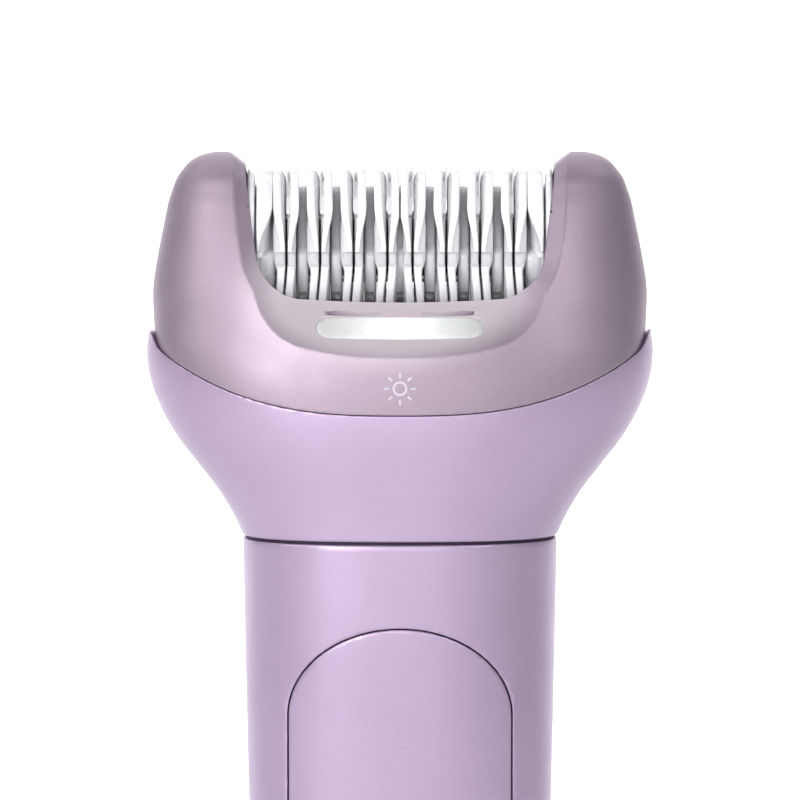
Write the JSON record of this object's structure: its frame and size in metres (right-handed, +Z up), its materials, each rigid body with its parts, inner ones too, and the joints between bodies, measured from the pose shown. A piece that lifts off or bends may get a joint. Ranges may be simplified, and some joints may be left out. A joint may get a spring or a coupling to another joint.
{
  "type": "epilator",
  "caption": "Cordless epilator: slim contoured handle with a lift-off head, a drum of ceramic tweezer discs between two horns, and a light below it.",
  "frame": {"origin": "centre of the flat base", "axes": "+Z up along the handle, -Y towards the front (the side with the power button and the light), +X to the right seen from the front"},
  "size_m": [0.0546, 0.0319, 0.168],
  "materials": {
    "mauve_shell": "satin pearl mauve moulding",
    "lilac_shell": "satin lilac moulding",
    "lilac_button": "satin lilac moulding",
    "trim_ring": "polished ring",
    "lens": "frosted light window",
    "icon_print": "pale inlay",
    "ceramic": "white ceramic",
    "core_grey": "grey moulding",
    "dark_plastic": "dark moulding",
    "grey_plastic": "grey moulding",
    "nylon": "natural nylon",
    "steel": "plain steel",
    "brass": "plain brass",
    "seal": "dark elastomer",
    "board": "circuit board",
    "cell": "cell sleeve",
    "led": "white lamp"
  },
  "bodies": {
    "handle": {"handle_front_shell": "lilac_shell", "handle_back_shell": "lilac_shell", "front_panel": "lilac_shell", "panel_gasket": "seal", "button_ring": "trim_ring", "status_lens": "lens", "status_led": "led", "circuit_board": "board", "tact_switch": "dark_plastic", "base_cap": "lilac_shell", "base_seal": "seal", "charging_socket": "dark_plastic", "socket_contacts": "brass", "inner_frame": "grey_plastic", "battery": "cell", "battery_tabs": "steel", "motor_can": "steel", "motor_end_cap": "dark_plastic", "motor_terminals": "brass", "motor_screws": "steel", "neck_collar": "dark_plastic", "neck_seal": "seal", "head_contacts": "brass", "casing_screws": "steel", "release_spring": "steel"},
    "motor_rotor": {"motor_shaft": "steel", "drive_dog": "brass"},
    "power_button": {"power_button": "lilac_button"},
    "release_button": {"release_button": "lilac_button"},
    "head": {"head_base": "lilac_shell", "head_frame": "mauve_shell", "light_lens": "lens", "light_leds": "led", "light_board": "board", "light_icon": "icon_print", "drum_cradle": "dark_plastic", "side_plates": "steel", "drum_axle": "steel", "gear_bracket": "grey_plastic", "head_pins": "steel", "head_screws": "steel", "contact_pads": "brass", "seam_gasket": "seal"},
    "drum": {"drum_core": "core_grey", "fixed_discs": "ceramic", "end_discs": "ceramic", "drum_gear": "nylon"},
    "pinch_left": {"pinch_discs_left": "ceramic", "pinch_plate_left": "steel"},
    "pinch_right": {"pinch_discs_right": "ceramic", "pinch_plate_right": "steel"},
    "input_shaft": {"input_coupler": "nylon", "input_pinion": "brass"},
    "crown": {"crown_gear": "nylon", "layshaft": "steel"},
    "idler": {"idler_gear": "nylon"},
    "roller_left": {"cam_roller_left": "steel"},
    "roller_right": {"cam_roller_right": "steel"}
  },
  "joints": [
    {"name": "head_release", "type": "slide", "parent": "handle", "child": "head", "axis": [0, 0, 1], "range_m": [0, 0.025]},
    {"name": "drum_spin", "type": "hinge", "parent": "head", "child": "drum", "pos_m": [0, 0, 0.1578], "axis": [1, 0, 0], "continuous": true},
    {"name": "pinch_left", "type": "slide", "parent": "drum", "child": "pinch_left", "axis": [1, 0, 0], "range_m": [0, 0.0002], "stiffness_N_per_m": 300},
    {"name": "pinch_right", "type": "slide", "parent": "drum", "child": "pinch_right", "axis": [-1, 0, 0], "range_m": [0, 0.0002]},
    {"name": "idler_spin", "type": "hinge", "parent": "head", "child": "idler", "pos_m": [0, 0, 0.147], "axis": [1, 0, 0], "continuous": true},
    {"name": "crown_spin", "type": "hinge", "parent": "head", "child": "crown", "pos_m": [0, 0, 0.1386], "axis": [1, 0, 0], "continuous": true},
    {"name": "input_spin", "type": "hinge", "parent": "head", "child": "input_shaft", "pos_m": [0, 0, 0.128], "axis": [0, 0, 1], "continuous": true},
    {"name": "motor_spin", "type": "hinge", "parent": "handle", "child": "motor_rotor", "pos_m": [0, 0, 0.12], "axis": [0, 0, 1], "continuous": true},
    {"name": "roller_left_spin", "type": "hinge", "parent": "head", "child": "roller_left", "pos_m": [-0.01825, 0, 0.1525], "axis": [0, 0, 1], "continuous": true},
    {"name": "roller_right_spin", "type": "hinge", "parent": "head", "child": "roller_right", "pos_m": [0.01825, 0, 0.1525], "axis": [0, 0, 1], "continuous": true},
    {"name": "power_press", "type": "slide", "parent": "handle", "child": "power_button", "axis": [0, 1, 0], "range_m": [0, 0.0006], "stiffness_N_per_m": 400},
    {"name": "release_press", "type": "slide", "parent": "handle", "child": "release_button", "axis": [0, -1, 0], "range_m": [0, 0.0012], "stiffness_N_per_m": 500, "deforming": ["release_spring"]}
  ],
  "couplings": [
    {"joint": "pinch_right", "follows": "pinch_left", "ratio": 1},
    {"joint": "idler_spin", "follows": "drum_spin", "ratio": -1.25},
    {"joint": "crown_spin", "follows": "drum_spin", "ratio": 1.6667},
    {"joint": "input_spin", "follows": "drum_spin", "ratio": 4},
    {"joint": "motor_spin", "follows": "drum_spin", "ratio": 4},
    {"joint": "roller_left_spin", "follows": "drum_spin", "ratio": 8.8333},
    {"joint": "roller_right_spin", "follows": "drum_spin", "ratio": -8.8333}
  ]
}
